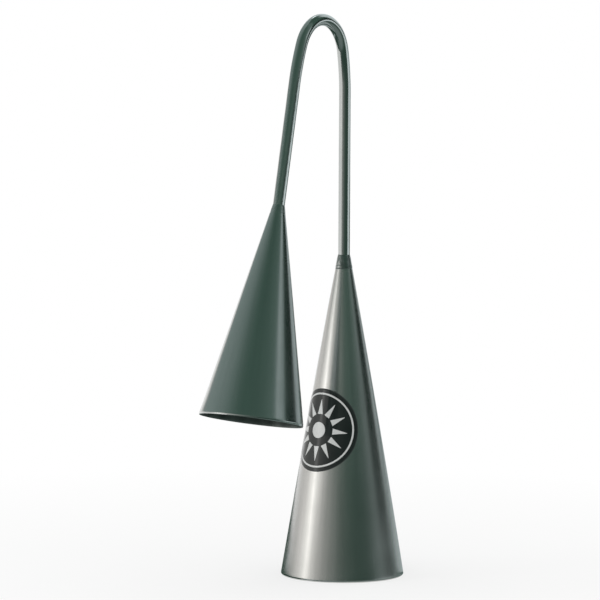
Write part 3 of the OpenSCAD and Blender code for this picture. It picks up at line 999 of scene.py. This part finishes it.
# %% Paper of the floor
WHITE_NEAR = 0.70
FADE_IN = 0.10
FADE_OUT = 0.60
PAPER_TONES = ((0.87, 0.875, 0.87, 1), (0.90, 0.905, 0.90, 1))
floor_material = bpy.data.materials.new("floor_pale")
floor_material.use_nodes = True
tree = floor_material.node_tree
tree.nodes.clear()
place = add(tree, "ShaderNodeTexCoord")
away = add(tree, "ShaderNodeVectorMath", {"operation": "LENGTH"}, n0=place.outputs["Object"])
own_white = fit(tree, away.outputs["Value"], FADE_IN, FADE_OUT, WHITE_NEAR, 1.0)
paper = noise(tree, place.outputs["Object"], 60.0, 3.0, 0.5)
tint = blend_colour(tree, paper, *PAPER_TONES)
matt = add(tree, "ShaderNodeBsdfDiffuse", None, Color=tint)
white = add(tree, "ShaderNodeEmission", None, Color=(1, 1, 1, 1), Strength=1.0)
share = maths(tree, "MULTIPLY", own_white, seen_by_eye(tree))
mixed = add(tree, "ShaderNodeMixShader", None, n0=share, n1=matt.outputs[0], n2=white.outputs[0])
tree.links.new(mixed.outputs[0], add(tree, "ShaderNodeOutputMaterial").inputs[0])
print("material", floor_material.name)

# %% Floor
FLOOR_R = 5.0
angle = np.linspace(0, 2 * math.pi, 96, endpoint=False)
floor_points = np.stack([FLOOR_R * np.cos(angle), FLOOR_R * np.sin(angle), 0 * angle], 1)
floor_mesh = bpy.data.meshes.new("floor")
floor_mesh.from_pydata(floor_points.tolist(), [], [list(range(len(angle)))])
floor_mesh.materials.append(floor_material)
floor = bpy.data.objects.new("floor", floor_mesh)
bpy.context.scene.collection.objects.link(floor)
print("floor radius m", FLOOR_R)

# %% [markdown]
# ## Reflection screen
# Product photographers shape metal with cards and soft boxes round the table. Here they are one
# curved screen, a wide dome with a cloth over the table, that only reflections see. Its light is a
# function of direction: a dark green room, a soft lamp on the left with a broad glow beside it, a
# faint window and a dark card on the right, a pale backdrop behind, and a lamp high behind that the
# top of the crown mirrors. The upright rod mirrors what lies below the horizon and the flared bells
# what lies above it, so the far table is pale: it draws the bright line down the right of the rod.
# On the left the cloth ends, and the white floor shows.

# %% Lamp on the left
# Sides are in degrees from the camera towards its right, rises in degrees over the horizon.
LAMP_AT = -77.0
CORE, CORE_HALF, CORE_SOFT = 1.3, 5.0, 3.5
GLOW, GLOW_WIDE = 0.62, 22.0
WING, WING_WIDE, WING_POWER = 0.78, 52.0, 2.1
UNDER_FOOT = 0.74
LAMP_SIDES = [-138, -108, -86, -79, -40, 0]
LAMP_FEET = [-0.5, 2.6, 5.2, 6.1, 9.0, 11.2]


def window(low, high, soft, x):
    """1 between low and high, 0 outside, with soft edges."""
    return smooth(low - soft, low + soft, x) * (1 - smooth(high - soft, high + soft, x))


def left_lamp(side, rise):
    """Light of the lamp by side: a narrow core, a glow round it, and a wing that is full behind it
    and fades towards the camera. All of it is fainter below the lamp's foot, which is what the bell
    mirrors next to its mouth."""
    from_lamp = np.maximum(side - LAMP_AT, 0)
    wing = WING * np.exp(-((from_lamp / WING_WIDE) ** WING_POWER))
    glow = GLOW * np.exp(-(((side - LAMP_AT) / GLOW_WIDE) ** 2))
    core = CORE * window(LAMP_AT - CORE_HALF, LAMP_AT + CORE_HALF, CORE_SOFT, side)
    foot = np.interp(side, LAMP_SIDES, LAMP_FEET)
    return (wing + glow + core) * (UNDER_FOOT + (1 - UNDER_FOOT) * smooth(foot - 1, foot + 1, rise))


print("lamp's light by side", {a: round(float(left_lamp(a, 30.0)), 2) for a in (-138, -77, -40, 0, 60)})

# %% Light of the dome
# Each light has a range of sides or rises and a level, and some have more of it further round.
WARM = np.array([1.0, 0.985, 0.96])
COOL = np.array([0.90, 1.0, 1.02])
LAMP_TOP = 14.0
LAMP_TOP_STEPS = ((-75, -40, 2.5), (-40, -10, 3.0), (-90, -108, -5.0))
LAMP_TOP_SOFT = 4.0
OVER_LAMP = 0.24
PANE = (64, 87)
PANE_SIDES = [0, 64, 87]
PANE_FEET = [11.6, 8.2, 6.0]
PANE_LOW, PANE_LOW_RIGHT, PANE_HIGH = 0.05, 0.09, 0.38
PANE_GLOW, PANE_GLOW_WIDE = 0.08, 30.0
CARD = (88, 123)
CARD_TOP = (18, 26)
TABLE = (62, 121)
TABLE_LIGHT, TABLE_LIGHT_RIGHT = 0.45, 0.5
TABLE_SIDES = [50, 58, 70, 81, 97, 108]
TABLE_TOPS = [5.0, 4.6, 4.4, 3.4, 1.5, 0.2]
BACK_START = (122, 126)
BACK_TOP = (36, 56)
BACK, BACK_MORE, BACK_LEFT = 0.42, 0.4, 0.22
HIGH_LAMP, HIGH_RISE, HIGH_TALL, HIGH_WIDE = 2.5, 49.0, 5.0, 9.0


def dome_light(side, rise):
    """Colour of the light on top of the room's green, and the share of the dark card: the lamp up to
    its top, and over that the largest of pane, table and backdrop, with two faint glows."""
    top = LAMP_TOP + sum(more * smooth(low, high, side) for low, high, more in LAMP_TOP_STEPS)
    over_lamp = smooth(top - LAMP_TOP_SOFT, top, rise)
    high_left = OVER_LAMP * smooth(-20, -115, side)
    pane_foot = np.interp(side, PANE_SIDES, PANE_FEET)
    over_foot = smooth(pane_foot - 0.5, pane_foot + 0.5, rise)
    pane_glow = PANE_GLOW * np.exp(-np.maximum(PANE[0] - side, 0) / PANE_GLOW_WIDE) * (side < PANE[1])
    pane_low = PANE_LOW + PANE_LOW_RIGHT * smooth(70, 80, side)
    pane = pane_low * over_foot + PANE_HIGH * window(20, 28, 4, rise)
    pane = window(*PANE, 1, side) * pane * (1 - smooth(32, 40, rise))
    table_top = np.interp(side, TABLE_SIDES, TABLE_TOPS)
    over_table = smooth(table_top - 0.5, table_top + 0.5, rise)
    table_light = TABLE_LIGHT + TABLE_LIGHT_RIGHT * smooth(74, 80, side)
    far_table = window(*TABLE, 2, side) * table_light * (1 - over_table)
    dark_card = window(*CARD, 1.5, side) * (1 - smooth(*CARD_TOP, rise)) * over_table
    back_light = BACK + BACK_MORE * np.maximum(smooth(140, 165, side), smooth(8, 13, rise))
    backdrop = smooth(*BACK_START, side) * back_light + BACK_LEFT * smooth(-145, -165, side)
    backdrop = backdrop * (1 - smooth(*BACK_TOP, rise))
    behind = 180 - np.abs(side)
    high_lamp = HIGH_LAMP * np.exp(-((behind / HIGH_WIDE) ** 2) - ((rise - HIGH_RISE) / HIGH_TALL) ** 2)
    cool = over_lamp * high_left + pane_glow * over_foot + high_lamp
    cool = cool + np.maximum(np.maximum(pane, far_table), backdrop)
    warm = (1 - over_lamp) * left_lamp(side, rise)
    return warm[..., None] * WARM + cool[..., None] * COOL, dark_card


print("dome behind, level:", dome_light(np.array(170.0), np.array(0.0))[0].round(2))

# %% Light of the cloth
CLOTH_FAR = (1.0, 2.8)
CLOTH_RIGHT, CLOTH_UNDER, CLOTH_BESIDE = 0.95, 0.18, 0.6


def cloth_light(side, reach):
    """The same for the cloth on the table, by side and by reach in metres from the middle. It is
    lighter under the part and in one patch beside it."""
    far = smooth(*CLOTH_FAR, reach)
    right_side = window(74, TABLE[1], 2, side) * CLOTH_RIGHT * far
    behind = smooth(*BACK_START, side) * BACK * (1 - window(2.2, 5.0, 0.2, reach))
    under = CLOTH_UNDER * (1 - smooth(0.35, 0.9, reach))
    under = under * smooth(-80, -50, side) * (1 - smooth(118, 122, side))
    beside = CLOTH_BESIDE * window(-142, -131, 2, side) * window(0.18, 0.5, 0.03, reach)
    cool = right_side + behind + under + beside
    warm = far * left_lamp(side, 0 * reach)
    return warm[..., None] * WARM + cool[..., None] * COOL


print("cloth beside the part:", cloth_light(np.array(-136.0), np.array(0.3)).round(2))

# %% Shape of the screen
SCREEN_R = 40.0
SCREEN_MID = 0.19
CLOTH_IN = 0.005
CLOTH_Z = 0.6 * MM


def direction(side, rise):
    """Unit vector for a side and a rise in degrees."""
    a, e = np.radians(side), np.radians(rise)
    towards = np.array([back.x, back.y]) / math.hypot(back.x, back.y)
    level = np.cos(a)[..., None] * towards + np.sin(a)[..., None] * np.array([right.x, right.y])
    return np.concatenate([level * np.cos(e)[..., None], np.sin(e)[..., None]], -1)


side_steps = np.linspace(-180, 180, 361)[:-1]
centre = np.array([0, 0, SCREEN_MID])
lowest = -math.degrees(math.asin(SCREEN_MID / SCREEN_R))
rises = np.concatenate([np.linspace(lowest, 20, 70), np.linspace(20, 89.5, 60)[1:]])
side, rise = np.meshgrid(side_steps, rises)
dome = centre + SCREEN_R * direction(side, rise)
reaches = np.geomspace(CLOTH_IN, SCREEN_R, 90)
side_low, reach = np.meshgrid(side_steps, reaches)
cloth = reach[..., None] * direction(side_low, 0 * reach) + [0, 0, CLOTH_Z]
screen_points = np.concatenate([cloth, dome])
print("rows of cloth and dome", len(cloth), len(dome))

# %% Colours of the screen
ROOM = np.array([0.066, 0.122, 0.098])
DIM_CLOTH = 0.65
DIM_LOW = 0.5
DIM_CARD = 0.65
FULL_LIGHT = 0.8
CLOTH_LEFT = 0.85
OPEN_LEFT = -55
light, dark_card = dome_light(side, rise)
light = np.concatenate([cloth_light(side_low, reach), light])
dim = (DIM_LOW + (1 - DIM_LOW) * smooth(8, 15, rise)) * (1 - DIM_CARD * dark_card)
dim = np.concatenate([np.full(reach.shape, DIM_CLOTH), dim])
room_share = dim * (1 - smooth(0.0, FULL_LIGHT, light.mean(-1)))
is_open = (side_low < OPEN_LEFT) & (reach > CLOTH_LEFT)
is_open = np.concatenate([is_open, np.zeros(rise.shape, bool)])
shade = np.where(is_open[..., None], 1.0, room_share[..., None] * ROOM + light).reshape(-1, 3)
shade = np.vstack([shade, ROOM, ROOM])
print("mean colour of the screen", shade.mean(0).round(3))

# %% Screen in the studio
columns = np.arange(len(side_steps) + 1.0)
verts, quads, _, tris, _ = shell(screen_points, columns, np.arange(float(len(screen_points))), False)
kept = quads[~is_open.ravel()[quads].all(1)]
dome_tip = tris[len(side_steps):]
screen_mesh = bpy.data.meshes.new("reflection_screen")
screen_mesh.from_pydata(verts.tolist(), [], kept.tolist() + dome_tip.tolist())
colours = screen_mesh.color_attributes.new("room", "FLOAT_COLOR", "POINT")
rgba = np.column_stack([shade, np.ones(len(shade))])
colours.data.foreach_set("color", rgba.astype(np.float32).ravel())
screen_material = bpy.data.materials.new("reflection_screen")
screen_material.use_nodes = True
screen_material.cycles.emission_sampling = "NONE"
tree = screen_material.node_tree
tree.nodes.clear()
room = add(tree, "ShaderNodeAttribute", {"attribute_name": "room"})
lit = add(tree, "ShaderNodeEmission", None, Color=room.outputs["Color"], Strength=1.0)
tree.links.new(lit.outputs[0], add(tree, "ShaderNodeOutputMaterial").inputs[0])
screen_mesh.materials.append(screen_material)
screen = bpy.data.objects.new("reflection_screen", screen_mesh)
bpy.context.scene.collection.objects.link(screen)
for ray in ("camera", "diffuse", "transmission", "volume_scatter", "shadow"):
    setattr(screen, "visible_" + ray, False)
print("screen faces", len(kept))

# %% [markdown]
# ## Lamps
# The lamps light what is matt: the print, the floor and its shadow. Metal sees the screen instead,
# so they are hidden from glossy rays. Power is worked out from the brightness wanted, since
# a lamp's brightness is its power over its area and pi.

# %% Soft boxes
def soft_box(name, side, rise, distance, width, height, brightness):
    """A rectangular lamp in a direction from the object, facing it."""
    lamp = bpy.data.lights.new(name, "AREA")
    lamp.shape = "RECTANGLE"
    lamp.size, lamp.size_y = width, height
    lamp.energy = brightness * math.pi * width * height
    obj = bpy.data.objects.new(name, lamp)
    bpy.context.scene.collection.objects.link(obj)
    away = Vector(direction(np.array(float(side)), np.array(float(rise))).tolist())
    obj.location = Vector(centre) + away * distance
    obj.rotation_mode = "QUATERNION"
    obj.rotation_quaternion = away.to_track_quat("Z", "Y")
    obj.visible_camera = False
    obj.visible_glossy = False
    print(name, "watts", round(lamp.energy, 2))


soft_box("left_box", -70, 25, 1.3, 0.5, 0.8, 1.6)
soft_box("top_box", -20, 66, 1.4, 0.6, 0.6, 1.6)

# %% View settings
bpy.context.scene.view_settings.view_transform = "Standard"
print("view transform", bpy.context.scene.view_settings.view_transform)
